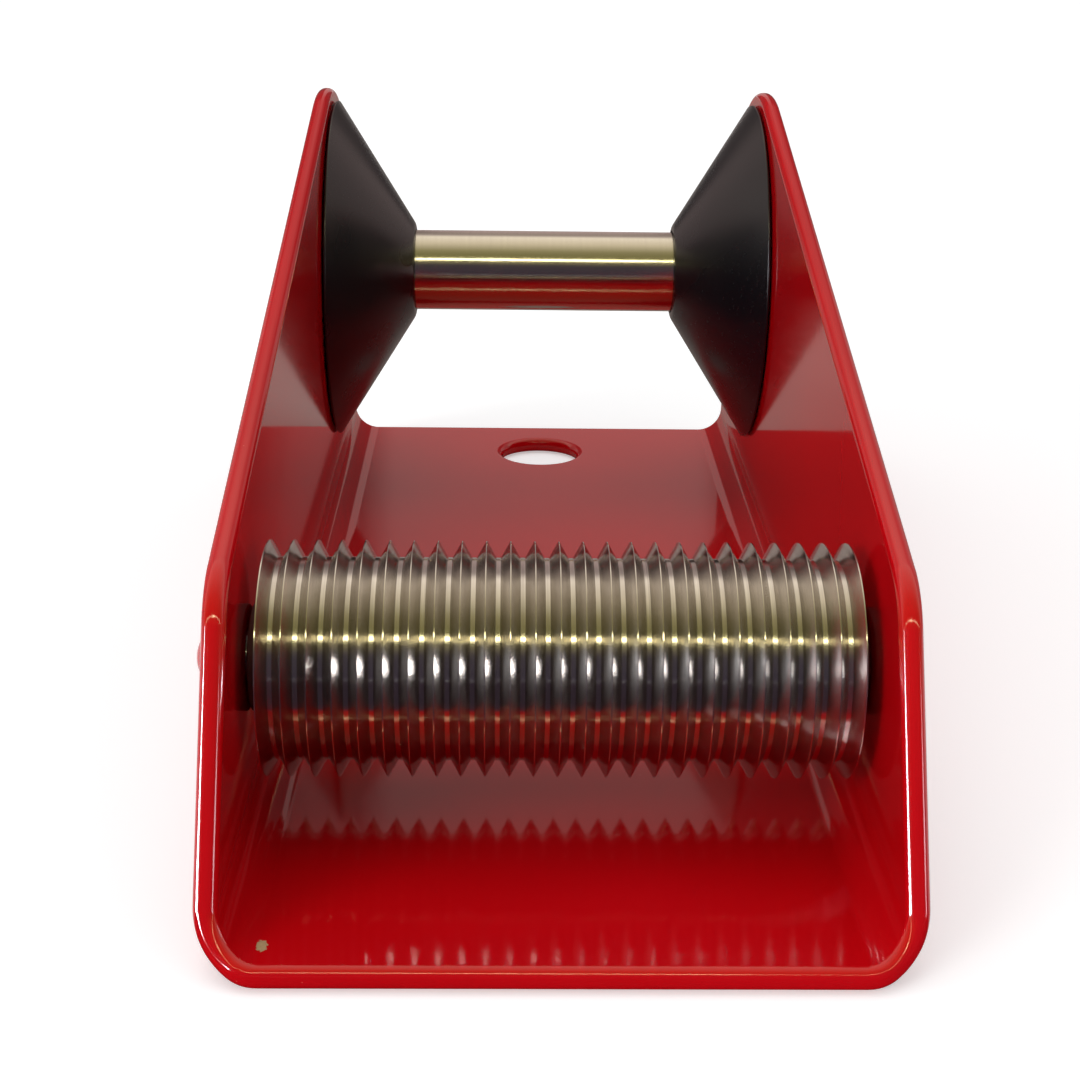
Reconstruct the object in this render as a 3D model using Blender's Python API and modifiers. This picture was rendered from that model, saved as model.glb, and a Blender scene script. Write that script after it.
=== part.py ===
"""A folded-steel roller bracket: a grooved roller in front, two cones on a cross tube behind.

Units are metres and +Z is up.  The bracket stands on its floor plate; the world origin lies
under the middle of the floor, +Y runs from the grooved roller to the cones and +X to the right.
"""

import math

import bmesh
import bpy
from mathutils import Vector
from mathutils.geometry import tessellate_polygon

MM = 0.001

# ---------------------------------------------------------------------------
# Driving dimensions
# ---------------------------------------------------------------------------

# Folded bracket
BRACKET_WIDTH = 87.0 * MM
BRACKET_LENGTH = 210.0 * MM
PLATE_THICKNESS = 3.0 * MM
BEND_INNER_RADIUS = 5.0 * MM
FRONT_EDGE_ANGLE = math.radians(61.0)
TOP_EDGE_ANGLE = math.radians(14.9)
SHOULDER_RADIUS = 12.0 * MM
FRONT_CORNER_RADIUS = 6.0 * MM
EDGE_ROUNDING = 1.2 * MM
TIP_FROM_REAR = 1.2 * MM
FLOOR_HOLE_RADIUS = 8.0 * MM
FLOOR_HOLE_FROM_REAR = 17.4 * MM

# Grooved roller
ROLLER_SETBACK = 40.9 * MM
ROLLER_FLOOR_CLEARANCE = 5.4 * MM
ROLLER_CREST_RADIUS = 15.6 * MM
GROOVE_PITCH = 3.175 * MM
GROOVE_DEPTH = 2.2 * MM
GROOVE_ROOT_FLAT = 0.6 * MM
GROOVE_CREST_FLAT = 0.12 * MM
THRUST_WASHER_THICKNESS = 1.7 * MM
THRUST_WASHER_RIM = 3.6 * MM
ROLLER_BUSH_WALL = 2.0 * MM
ROLLER_BUSH_LENGTH = 12.0 * MM
ROLLER_AXLE_RADIUS = 3.5 * MM

# Cones on their cross tube
CONE_FLOOR_CLEARANCE = 11.2 * MM
CONE_RIM_RADIUS = 32.1 * MM
CONE_LENGTH = 15.1 * MM
CONE_NOSE_WALL = 1.0 * MM
CONE_RIM_LAND = 0.25 * MM
CONE_EDGE_CHAMFER = 0.15 * MM
CONE_WALL_CLEARANCE = 0.4 * MM
CONE_TIP_MARGIN = 2.4 * MM
TUBE_WALL = 2.0 * MM
CONE_BUSH_WALL = 1.1 * MM
CONE_BUSH_LENGTH = 14.0 * MM
CONE_AXLE_RADIUS = 4.0 * MM

# Axle ends: a washer and an E-clip outside each wall
WASHER_THICKNESS = 0.8 * MM
WASHER_RIM = 3.2 * MM
CLIP_THICKNESS = 0.8 * MM
CLIP_RIM = 2.2 * MM
CLIP_GROOVE_DEPTH = 0.6 * MM
CLIP_MOUTH_ANGLE = math.radians(38.0)
CLIP_LAND_ANGLE = math.radians(14.0)
CLIP_RELIEF = 0.8 * MM
AXLE_TAIL = 1.7 * MM
AXLE_CHAMFER = 0.5 * MM

# Clearances
SEAT_GAP = 0.3 * MM

# Facet counts
ROLLER_STEPS = 32
CONE_STEPS = 48
SHAFT_STEPS = 24
HOLE_STEPS = 32
BEND_STEPS = 10
RIM_SEGMENTS = 2
ARC_STEP = math.radians(9.0)
MERGE_DISTANCE = 0.01 * MM

# ---------------------------------------------------------------------------
# Sizes that follow
# ---------------------------------------------------------------------------

WALL_OUTER_X = BRACKET_WIDTH / 2
WALL_INNER_X = WALL_OUTER_X - PLATE_THICKNESS
BEND_OUTER_RADIUS = BEND_INNER_RADIUS + PLATE_THICKNESS
BEND_MIDDLE_RADIUS = BEND_INNER_RADIUS + PLATE_THICKNESS / 2
BEND_START_X = WALL_OUTER_X - BEND_OUTER_RADIUS
BEND_LENGTH = BEND_MIDDLE_RADIUS * math.pi / 2
FRONT_EDGE_Y = -BRACKET_LENGTH / 2
REAR_EDGE_Y = BRACKET_LENGTH / 2

ROLLER_AXIS_HEIGHT = PLATE_THICKNESS + ROLLER_FLOOR_CLEARANCE + ROLLER_CREST_RADIUS
ROLLER_AXIS = (FRONT_EDGE_Y + ROLLER_SETBACK, ROLLER_AXIS_HEIGHT)
ROLLER_ROOT_RADIUS = ROLLER_CREST_RADIUS - GROOVE_DEPTH
ROLLER_HALF_LENGTH = WALL_INNER_X - THRUST_WASHER_THICKNESS - 2 * SEAT_GAP
GROOVE_COUNT = int((2 * ROLLER_HALF_LENGTH - GROOVE_CREST_FLAT) / GROOVE_PITCH)
ROLLER_BUSH_BORE = ROLLER_AXLE_RADIUS + SEAT_GAP
ROLLER_BUSH_RADIUS = ROLLER_BUSH_BORE + ROLLER_BUSH_WALL
ROLLER_BORE_RADIUS = ROLLER_BUSH_RADIUS + SEAT_GAP

CONE_BUSH_BORE = CONE_AXLE_RADIUS + SEAT_GAP
CONE_BUSH_RADIUS = CONE_BUSH_BORE + CONE_BUSH_WALL
TUBE_BORE_RADIUS = CONE_BUSH_RADIUS + SEAT_GAP
TUBE_RADIUS = TUBE_BORE_RADIUS + TUBE_WALL
CONE_BORE_RADIUS = TUBE_RADIUS + SEAT_GAP
CONE_NOSE_RADIUS = CONE_BORE_RADIUS + CONE_NOSE_WALL
CONE_FACE_X = WALL_INNER_X - CONE_WALL_CLEARANCE
TIP_RADIUS = CONE_RIM_RADIUS + CONE_TIP_MARGIN
CONE_AXIS_HEIGHT = PLATE_THICKNESS + CONE_FLOOR_CLEARANCE + CONE_RIM_RADIUS
CONE_AXIS = (REAR_EDGE_Y - TIP_FROM_REAR - TIP_RADIUS, CONE_AXIS_HEIGHT)

WASHER_INNER_X = WALL_OUTER_X + SEAT_GAP
CLIP_INNER_X = WASHER_INNER_X + WASHER_THICKNESS + SEAT_GAP
CLIP_GROOVE_INNER_X = CLIP_INNER_X - SEAT_GAP
CLIP_GROOVE_OUTER_X = CLIP_INNER_X + CLIP_THICKNESS + SEAT_GAP
AXLE_END_X = CLIP_GROOVE_OUTER_X + AXLE_TAIL


# ---------------------------------------------------------------------------
# Scene and finishes
# ---------------------------------------------------------------------------


def clear_scene():
    """Remove every object of the scene."""
    for scene_object in list(bpy.data.objects):
        bpy.data.objects.remove(scene_object, do_unlink=True)


def make_collection(name):
    """Return a new collection linked to the scene."""
    collection = bpy.data.collections.new(name)
    bpy.context.scene.collection.children.link(collection)
    return collection


def make_material(name, colour, roughness, metallic):
    """Return a Principled material of one plain finish."""
    material = bpy.data.materials.new(name)
    material.use_nodes = True
    material.diffuse_color = (*colour, 1.0)
    shader = material.node_tree.nodes["Principled BSDF"]
    shader.inputs["Base Color"].default_value = (*colour, 1.0)
    shader.inputs["Roughness"].default_value = roughness
    shader.inputs["Metallic"].default_value = metallic
    return material


# ---------------------------------------------------------------------------
# Shape helpers
# ---------------------------------------------------------------------------


def arc(centre, radius, start, end, step_angle=ARC_STEP):
    """Return the points of an arc, ends included, no coarser than a step."""
    steps = max(1, math.ceil(abs(end - start) / step_angle - 0.001))
    angles = [start + (end - start) * step / steps for step in range(steps + 1)]
    return [(centre[0] + radius * math.cos(a), centre[1] + radius * math.sin(a)) for a in angles]


def rounded_corner(before, corner, after, radius):
    """Return the arc of a given radius that rounds one corner of an outline."""
    towards_before = math.atan2(before[1] - corner[1], before[0] - corner[0])
    towards_after = math.atan2(after[1] - corner[1], after[0] - corner[0])
    opening = (towards_after - towards_before + math.pi) % math.tau - math.pi
    bisector = towards_before + opening / 2
    reach = radius / math.sin(abs(opening) / 2)
    centre = (corner[0] + reach * math.cos(bisector), corner[1] + reach * math.sin(bisector))
    turn = math.copysign(math.pi - abs(opening), -opening)
    middle = bisector + math.pi
    return arc(centre, radius, middle - turn / 2, middle + turn / 2)


def rounded_outline(corners):
    """Return outline points from (x, y, radius) corners, rounding those with a radius."""
    points = []
    for index, (x, y, radius) in enumerate(corners):
        before = corners[index - 1]
        after = corners[(index + 1) % len(corners)]
        if radius > 0:
            points.extend(rounded_corner(before, (x, y), after, radius))
        else:
            points.append((x, y))
    return points


def prism(name, outline, depth, rotation, location, collection, material):
    """Return a mesh object: a flat outline extruded about its own plane."""
    curve = bpy.data.curves.new(name, "CURVE")
    curve.dimensions = "2D"
    curve.fill_mode = "BOTH"
    curve.extrude = depth / 2
    spline = curve.splines.new("POLY")
    spline.points.add(len(outline) - 1)
    for point, (x, y) in zip(spline.points, outline):
        point.co = (x, y, 0.0, 1.0)
    spline.use_cyclic_u = True
    flat = bpy.data.objects.new(name + "_outline", curve)
    collection.objects.link(flat)
    evaluated = flat.evaluated_get(bpy.context.evaluated_depsgraph_get())
    mesh = bpy.data.meshes.new_from_object(evaluated)
    bpy.data.objects.remove(flat, do_unlink=True)
    weld(mesh)
    mesh.name = name
    mesh.materials.clear()
    mesh.materials.append(material)
    solid = bpy.data.objects.new(name, mesh)
    solid.rotation_euler = rotation
    solid.location = location
    collection.objects.link(solid)
    return solid


def weld(mesh):
    """Join the loose caps of an extruded curve to its sides."""
    work = bmesh.new()
    work.from_mesh(mesh)
    bmesh.ops.remove_doubles(work, verts=work.verts, dist=MERGE_DISTANCE)
    bmesh.ops.recalc_face_normals(work, faces=work.faces)
    work.to_mesh(mesh)
    work.free()


def turned(name, profile, closed, steps, location, side, collection, material):
    """Return a piece turned about X from a (distance along X, radius) profile.

    The profile starts at the far end of the axis and comes back along the outside.  A closed
    profile leaves a bore; an open one starts and ends on the axis.  With side -1 the
    piece is turned about -X, as its mirror image.
    """
    mesh = bpy.data.meshes.new(name)
    vertices = [(radius, 0.0, along) for along, radius in profile]
    edges = [(i, i + 1) for i in range(len(profile) - 1)]
    if closed:
        edges.append((len(profile) - 1, 0))
    mesh.from_pydata(vertices, edges, [])
    mesh.materials.append(material)
    piece = bpy.data.objects.new(name, mesh)
    piece.rotation_euler = (0.0, side * math.pi / 2, 0.0)
    piece.location = location
    screw = piece.modifiers.new("Turn", "SCREW")
    screw.steps = steps
    screw.render_steps = steps
    screw.use_merge_vertices = True
    screw.merge_threshold = MERGE_DISTANCE
    screw.use_smooth_shade = False
    collection.objects.link(piece)
    return piece


def on_axis(axis, x=0.0):
    """Return the world point at a given X on a (y, z) axis."""
    return (x, axis[0], axis[1])


def ring_profile(inner_end, outer_end, outer_radius, bore_radius):
    """Return the closed profile of a plain ring between two places along its axis."""
    return [
        (outer_end, outer_radius),
        (inner_end, outer_radius),
        (inner_end, bore_radius),
        (outer_end, bore_radius),
    ]


# ---------------------------------------------------------------------------
# Bracket
# ---------------------------------------------------------------------------


def meeting_point(first, first_angle, second, second_angle):
    """Return where two lines meet, each given by a point and its direction."""
    across = second[0] - first[0]
    up = second[1] - first[1]
    turn = math.sin(second_angle - first_angle)
    distance = (across * math.sin(second_angle) - up * math.cos(second_angle)) / turn
    return (
        first[0] + distance * math.cos(first_angle),
        first[1] + distance * math.sin(first_angle),
    )


def unfolded(height):
    """Return how far from the middle of the flat blank a wall reaches a height."""
    return BEND_START_X + BEND_LENGTH + height - BEND_OUTER_RADIUS


def blank_outline():
    """Return the outline of the flat blank before it is folded.

    Each wall's front edge leans back, its top edge climbs to an arc about the cone axis, and
    its rear edge drops from that arc to the rear end of the bend.
    """
    front_foot = (FRONT_EDGE_Y, 0.0)
    rear_foot = (REAR_EDGE_Y, BEND_OUTER_RADIUS)
    on_top_edge = (
        CONE_AXIS[0] - TIP_RADIUS * math.sin(TOP_EDGE_ANGLE),
        CONE_AXIS[1] + TIP_RADIUS * math.cos(TOP_EDGE_ANGLE),
    )
    shoulder = meeting_point(front_foot, FRONT_EDGE_ANGLE, on_top_edge, TOP_EDGE_ANGLE)
    to_axis = (CONE_AXIS[0] - rear_foot[0], CONE_AXIS[1] - rear_foot[1])
    inside_tangent = math.asin(TIP_RADIUS / math.hypot(*to_axis))
    rear_edge_angle = math.atan2(to_axis[1], to_axis[0]) - inside_tangent
    tip = meeting_point(rear_foot, rear_edge_angle, on_top_edge, TOP_EDGE_ANGLE)
    side_view = [
        (*front_foot, FRONT_CORNER_RADIUS),
        (*shoulder, SHOULDER_RADIUS),
        (*tip, TIP_RADIUS),
        (*rear_foot, 0.0),
    ]
    right = [(unfolded(z), y, radius) for y, z, radius in side_view]
    return rounded_outline(right + [(-x, y, radius) for x, y, radius in reversed(right)])


def hole_outline(x, y, radius):
    """Return the outline of a round hole, which runs clockwise."""
    return arc((x, y), radius, math.tau, 0.0, math.tau / HOLE_STEPS)[:-1]


def directions_away(outline):
    """Return the unit direction at each point of an outline that leads away from the plate."""
    directions = []
    for index, _ in enumerate(outline):
        before = Vector(outline[index - 1])
        after = Vector(outline[(index + 1) % len(outline)])
        along = (after - before).normalized()
        directions.append(Vector((along.y, -along.x)))
    return directions


def add_rim(work, outline):
    """Add one rounded rim of the blank and return its lowest and highest ring of vertices."""
    straight = PLATE_THICKNESS / 2 - EDGE_ROUNDING
    quarter = [math.pi / 2 * step / RIM_SEGMENTS for step in range(RIM_SEGMENTS + 1)]
    upper = [
        (EDGE_ROUNDING * (1 - math.cos(angle)), straight + EDGE_ROUNDING * math.sin(angle))
        for angle in quarter
    ]
    section = [(setback, -height) for setback, height in reversed(upper)] + upper
    away = directions_away(outline)
    rings = [
        [
            work.verts.new((x - setback * out.x, y - setback * out.y, height))
            for (x, y), out in zip(outline, away)
        ]
        for setback, height in section
    ]
    for lower_ring, upper_ring in zip(rings, rings[1:]):
        for index in range(len(outline)):
            work.faces.new(
                (lower_ring[index - 1], lower_ring[index], upper_ring[index], upper_ring[index - 1])
            )
    return rings[0], rings[-1]


def open_hole(work, face, rings):
    """Replace a flat face by triangles that leave the holes of some rings open."""
    loops = [list(face.verts), *rings]
    vertices = [vertex for loop in loops for vertex in loop]
    work.faces.remove(face)
    for corners in tessellate_polygon([[vertex.co / MM for vertex in loop] for loop in loops]):
        work.faces.new([vertices[corner] for corner in corners])


def fill_flats(work, outer, holes):
    """Close both flat sides of the blank, cut them along the bends and open the holes."""
    for ring in outer:
        work.faces.new(ring)
    for side in (-1, 1):
        for step in range(BEND_STEPS + 1):
            bmesh.ops.bisect_plane(
                work, geom=work.verts[:] + work.edges[:] + work.faces[:], dist=MERGE_DISTANCE,
                plane_co=(side * (BEND_START_X + BEND_LENGTH * step / BEND_STEPS), 0.0, 0.0),
                plane_no=(1.0, 0.0, 0.0),
            )
    for face in work.faces[:]:
        across = [vertex.co.x for vertex in face.verts]
        height = face.calc_center_median().z
        inside = [
            ring for rings in holes for ring in rings
            if min(across) < ring[0].co.x < max(across)
            and abs(ring[0].co.z - height) < MERGE_DISTANCE
        ]
        if inside:
            open_hole(work, face, inside)
    bmesh.ops.triangulate(work, faces=work.faces[:])


def folded(point):
    """Return where a point of the flat blank lies once both walls are folded up."""
    along = abs(point.x) - BEND_START_X
    if along <= 0.0:
        x, z = abs(point.x), PLATE_THICKNESS / 2 + point.z
    else:
        angle = min(along / BEND_MIDDLE_RADIUS, math.pi / 2)
        radius = BEND_MIDDLE_RADIUS - point.z
        x = BEND_START_X + radius * math.sin(angle)
        z = BEND_OUTER_RADIUS - radius * math.cos(angle) + max(along - BEND_LENGTH, 0.0)
    return Vector((math.copysign(x, point.x), point.y, z))


def build_bracket(parts, paint):
    """Cut the flat blank with its holes, round its rims and fold up its walls."""
    loops = [
        blank_outline(),
        hole_outline(0.0, REAR_EDGE_Y - FLOOR_HOLE_FROM_REAR, FLOOR_HOLE_RADIUS),
    ]
    for side in (-1, 1):
        for axis, radius in ((ROLLER_AXIS, ROLLER_AXLE_RADIUS), (CONE_AXIS, CONE_AXLE_RADIUS)):
            loops.append(hole_outline(side * unfolded(axis[1]), axis[0], radius + SEAT_GAP))
    work = bmesh.new()
    outer, *holes = [add_rim(work, outline) for outline in loops]
    fill_flats(work, outer, holes)
    for vertex in work.verts:
        vertex.co = folded(vertex.co)
    bmesh.ops.recalc_face_normals(work, faces=work.faces[:])
    mesh = bpy.data.meshes.new("bracket")
    work.to_mesh(mesh)
    work.free()
    mesh.materials.append(paint)
    parts.objects.link(bpy.data.objects.new("bracket", mesh))


# ---------------------------------------------------------------------------
# Axles with their washers and clips
# ---------------------------------------------------------------------------


def axle_profile(radius):
    """Return an axle's open profile: chamfered ends with a clip groove near each."""
    groove_radius = radius - CLIP_GROOVE_DEPTH
    half = [
        (AXLE_END_X, 0.0),
        (AXLE_END_X, radius - AXLE_CHAMFER),
        (AXLE_END_X - AXLE_CHAMFER, radius),
        (CLIP_GROOVE_OUTER_X, radius),
        (CLIP_GROOVE_OUTER_X, groove_radius),
        (CLIP_GROOVE_INNER_X, groove_radius),
        (CLIP_GROOVE_INNER_X, radius),
    ]
    return half + [(-along, r) for along, r in reversed(half)]


def clip_outline(axle_radius):
    """Return an E-clip's outline: an open ring with three lands in the groove."""
    land = axle_radius - CLIP_GROOVE_DEPTH + SEAT_GAP
    relief = land + CLIP_RELIEF
    outer = axle_radius + CLIP_RIM
    start = CLIP_MOUTH_ANGLE
    end = math.tau - CLIP_MOUTH_ANGLE
    ring = arc((0.0, 0.0), outer, start, end)
    land_centres = [end - CLIP_LAND_ANGLE, math.pi, start + CLIP_LAND_ANGLE]
    for index, centre in enumerate(land_centres):
        ring += arc((0.0, 0.0), land, centre + CLIP_LAND_ANGLE, centre - CLIP_LAND_ANGLE)
        if index + 1 < len(land_centres):
            following = land_centres[index + 1]
            ring += arc((0.0, 0.0), relief, centre - CLIP_LAND_ANGLE, following + CLIP_LAND_ANGLE)
    return ring


def build_axle(prefix, axis, radius, parts, finishes):
    """Build an axle across both walls, with a washer and an E-clip outside each."""
    turned(
        prefix + "_axle", axle_profile(radius), False, SHAFT_STEPS, on_axis(axis), 1, parts,
        finishes["axle"],
    )
    for side_name, side in (("left", -1), ("right", 1)):
        turned(
            f"{prefix}_outer_washer_{side_name}",
            ring_profile(0.0, WASHER_THICKNESS, radius + WASHER_RIM, radius + SEAT_GAP),
            True, SHAFT_STEPS, on_axis(axis, side * WASHER_INNER_X), side, parts, finishes["washer"],
        )
        clip_x = side * (CLIP_INNER_X + CLIP_THICKNESS / 2)
        prism(
            f"{prefix}_e_clip_{side_name}", clip_outline(radius), CLIP_THICKNESS,
            (0.0, math.pi / 2, 0.0), on_axis(axis, clip_x), parts, finishes["clip"],
        )


# ---------------------------------------------------------------------------
# Grooved roller
# ---------------------------------------------------------------------------


def grooved_profile():
    """Return the roller's closed profile: V grooves outside, a plain bore inside."""
    half_crest = GROOVE_CREST_FLAT / 2
    half_root = GROOVE_ROOT_FLAT / 2
    first_crest = GROOVE_COUNT * GROOVE_PITCH / 2
    profile = [(ROLLER_HALF_LENGTH, ROLLER_CREST_RADIUS)]
    for groove in range(GROOVE_COUNT):
        crest = first_crest - groove * GROOVE_PITCH
        root = crest - GROOVE_PITCH / 2
        profile.append((crest - half_crest, ROLLER_CREST_RADIUS))
        profile.append((root + half_root, ROLLER_ROOT_RADIUS))
        profile.append((root - half_root, ROLLER_ROOT_RADIUS))
        profile.append((crest - GROOVE_PITCH + half_crest, ROLLER_CREST_RADIUS))
    profile.append((-ROLLER_HALF_LENGTH, ROLLER_CREST_RADIUS))
    profile.append((-ROLLER_HALF_LENGTH, ROLLER_BORE_RADIUS))
    profile.append((ROLLER_HALF_LENGTH, ROLLER_BORE_RADIUS))
    return profile


def build_grooved_roller(parts, finishes):
    """Build the roller, the bush in each end and the thrust washer beside each end."""
    turned(
        "grooved_roller", grooved_profile(), True, ROLLER_STEPS, on_axis(ROLLER_AXIS), 1, parts,
        finishes["roller"],
    )
    washer_start = ROLLER_HALF_LENGTH + SEAT_GAP
    washer_radius = ROLLER_AXLE_RADIUS + THRUST_WASHER_RIM
    for side_name, side in (("left", -1), ("right", 1)):
        turned(
            f"roller_bush_{side_name}",
            ring_profile(-ROLLER_BUSH_LENGTH, 0.0, ROLLER_BUSH_RADIUS, ROLLER_BUSH_BORE),
            True, SHAFT_STEPS, on_axis(ROLLER_AXIS, side * ROLLER_HALF_LENGTH), side, parts,
            finishes["bush"],
        )
        turned(
            f"roller_thrust_washer_{side_name}",
            ring_profile(0.0, THRUST_WASHER_THICKNESS, washer_radius, ROLLER_BUSH_BORE),
            True, SHAFT_STEPS, on_axis(ROLLER_AXIS, side * washer_start), side, parts,
            finishes["cone"],
        )


# ---------------------------------------------------------------------------
# Cones
# ---------------------------------------------------------------------------


def cone_profile():
    """Return a cone's closed profile, measured outward from its nose."""
    rim_start = CONE_LENGTH - CONE_RIM_LAND
    return [
        (CONE_LENGTH, CONE_RIM_RADIUS - CONE_EDGE_CHAMFER),
        (CONE_LENGTH - CONE_EDGE_CHAMFER, CONE_RIM_RADIUS),
        (rim_start, CONE_RIM_RADIUS),
        (CONE_EDGE_CHAMFER, CONE_NOSE_RADIUS),
        (0.0, CONE_NOSE_RADIUS - CONE_EDGE_CHAMFER),
        (0.0, CONE_BORE_RADIUS),
        (CONE_LENGTH, CONE_BORE_RADIUS),
    ]


def build_cones(parts, finishes):
    """Build the cross tube, a cone on each end of it and a bush in each end."""
    turned(
        "cross_tube", ring_profile(-CONE_FACE_X, CONE_FACE_X, TUBE_RADIUS, TUBE_BORE_RADIUS),
        True, SHAFT_STEPS, on_axis(CONE_AXIS), 1, parts, finishes["roller"],
    )
    for side_name, side in (("left", -1), ("right", 1)):
        turned(
            f"cone_{side_name}", cone_profile(), True, CONE_STEPS,
            on_axis(CONE_AXIS, side * (CONE_FACE_X - CONE_LENGTH)), side, parts, finishes["cone"],
        )
        turned(
            f"cone_bush_{side_name}",
            ring_profile(-CONE_BUSH_LENGTH, 0.0, CONE_BUSH_RADIUS, CONE_BUSH_BORE),
            True, SHAFT_STEPS, on_axis(CONE_AXIS, side * CONE_FACE_X), side, parts, finishes["bush"],
        )


def build():
    """Build the whole part."""
    clear_scene()
    parts = make_collection("roller_bracket")
    finishes = {
        "paint": make_material("red_paint", (0.45, 0.005, 0.006), 0.12, 0.0),
        "roller": make_material("turned_steel", (0.62, 0.60, 0.56), 0.25, 1.0),
        "cone": make_material("black_satin", (0.02, 0.02, 0.022), 0.35, 0.0),
        "axle": make_material("axle_steel", (0.45, 0.45, 0.46), 0.3, 1.0),
        "washer": make_material("washer_steel", (0.55, 0.55, 0.53), 0.35, 1.0),
        "clip": make_material("spring_steel", (0.12, 0.12, 0.13), 0.4, 1.0),
        "bush": make_material("bronze", (0.52, 0.34, 0.16), 0.4, 1.0),
    }
    build_bracket(parts, finishes["paint"])
    build_axle("roller", ROLLER_AXIS, ROLLER_AXLE_RADIUS, parts, finishes)
    build_grooved_roller(parts, finishes)
    build_axle("cone", CONE_AXIS, CONE_AXLE_RADIUS, parts, finishes)
    build_cones(parts, finishes)


if __name__ == "__main__":
    build()
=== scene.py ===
"""The looks of a folded-steel roller bracket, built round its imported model.

A red channel bracket carries a grooved steel roller in front and two satin black cones on a
steel cross tube behind.  Every piece is modelled in place, in metres, in the model's frame.
"""

import logging
import math
from dataclasses import dataclass
from enum import Enum
from typing import Sequence

import bmesh
import bpy
from mathutils import Matrix, Vector
from mathutils.geometry import tessellate_polygon

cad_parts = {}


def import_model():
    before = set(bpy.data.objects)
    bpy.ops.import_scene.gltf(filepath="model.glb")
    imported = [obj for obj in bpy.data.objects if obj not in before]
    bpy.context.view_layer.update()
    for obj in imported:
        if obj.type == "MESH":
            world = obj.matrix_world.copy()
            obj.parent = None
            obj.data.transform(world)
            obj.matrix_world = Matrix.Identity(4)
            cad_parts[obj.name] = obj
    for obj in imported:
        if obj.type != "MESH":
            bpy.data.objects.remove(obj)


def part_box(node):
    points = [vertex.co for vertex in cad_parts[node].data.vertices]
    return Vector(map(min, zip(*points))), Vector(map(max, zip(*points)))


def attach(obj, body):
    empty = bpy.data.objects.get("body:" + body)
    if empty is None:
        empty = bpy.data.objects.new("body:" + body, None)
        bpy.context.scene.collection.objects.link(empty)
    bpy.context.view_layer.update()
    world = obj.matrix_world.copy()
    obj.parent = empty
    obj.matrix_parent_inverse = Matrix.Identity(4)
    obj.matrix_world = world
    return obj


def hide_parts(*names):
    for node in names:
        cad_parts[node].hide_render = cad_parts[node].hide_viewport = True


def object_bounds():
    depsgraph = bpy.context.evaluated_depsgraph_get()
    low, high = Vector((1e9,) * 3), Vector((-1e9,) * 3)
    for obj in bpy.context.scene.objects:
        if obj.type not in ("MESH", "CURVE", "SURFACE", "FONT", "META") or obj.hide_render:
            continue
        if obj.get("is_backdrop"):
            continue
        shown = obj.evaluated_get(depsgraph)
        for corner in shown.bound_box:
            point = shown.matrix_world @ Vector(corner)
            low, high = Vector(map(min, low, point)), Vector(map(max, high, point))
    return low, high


log = logging.getLogger("roller_bracket")

MM = 0.001
SEAM = 0.002 * MM
PATCH_EDGES = (0.35, 0.65)

Point = tuple[float, float]
Corner = tuple[float, float, float]
Colour = tuple[float, float, float]
Inputs = dict[int | str, object]
Given = bpy.types.bpy_prop_collection
Object = bpy.types.Object
Material = bpy.types.Material
Node = bpy.types.Node
Socket = bpy.types.NodeSocket
BMesh = bmesh.types.BMesh


class Side(Enum):
    """The two mirrored sides of the object."""

    LEFT = -1
    RIGHT = 1

    @property
    def word(self) -> str:
        """The side's name in lower case."""
        return self.name.lower()


# Outlines


def arc(centre: Point, radius: float, start: float, end: float, step: float) -> list[Point]:
    """Compute the points of an arc, ends included.

    Args:
        centre: The arc's centre.
        radius: The arc's radius.
        start: The angle of the first point.
        end: The angle of the last point.
        step: The largest angle between two points.

    Returns:
        The points in order.
    """
    count = max(1, math.ceil(abs(end - start) / step))
    angles = [start + (end - start) * index / count for index in range(count + 1)]
    return [(centre[0] + radius * math.cos(a), centre[1] + radius * math.sin(a)) for a in angles]


def rounded_corner(
    before: Sequence[float], corner: Point, after: Sequence[float], radius: float, step: float
) -> list[Point]:
    """Compute the arc that rounds one corner of an outline.

    Args:
        before: The corner before this one.
        corner: The corner to round.
        after: The corner after this one.
        radius: The rounding's radius.
        step: The largest angle between two points.

    Returns:
        The arc's points, from the side of the earlier corner to the later one.
    """
    towards_before = math.atan2(before[1] - corner[1], before[0] - corner[0])
    towards_after = math.atan2(after[1] - corner[1], after[0] - corner[0])
    opening = (towards_after - towards_before + math.pi) % math.tau - math.pi
    bisector = towards_before + opening / 2
    reach = radius / math.sin(abs(opening) / 2)
    centre = (corner[0] + reach * math.cos(bisector), corner[1] + reach * math.sin(bisector))
    turn = math.copysign(math.pi - abs(opening), -opening)
    middle = bisector + math.pi
    return arc(centre, radius, middle - turn / 2, middle + turn / 2, step)


def rounded_outline(corners: Sequence[Corner], step: float) -> list[Point]:
    """Round the corners of a closed outline.

    Args:
        corners: The corners as (x, y, rounding radius); a radius of 0 keeps a corner sharp.
        step: The largest angle between two points of a rounding.

    Returns:
        The outline's points in order.
    """
    points: list[Point] = []
    for index, (x, y, radius) in enumerate(corners):
        before = corners[index - 1]
        after = corners[(index + 1) % len(corners)]
        if radius > 0:
            points.extend(rounded_corner(before, (x, y), after, radius, step))
        else:
            points.append((x, y))
    return points


def meeting_point(first: Point, first_angle: float, second: Point, second_angle: float) -> Point:
    """Find where two lines meet.

    Args:
        first: A point on the first line.
        first_angle: The first line's direction.
        second: A point on the second line.
        second_angle: The second line's direction.

    Returns:
        The point that both lines share.
    """
    across = second[0] - first[0]
    up = second[1] - first[1]
    turn = math.sin(second_angle - first_angle)
    distance = (across * math.sin(second_angle) - up * math.cos(second_angle)) / turn
    along, rise = distance * math.cos(first_angle), distance * math.sin(first_angle)
    return (first[0] + along, first[1] + rise)


# Meshes


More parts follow.
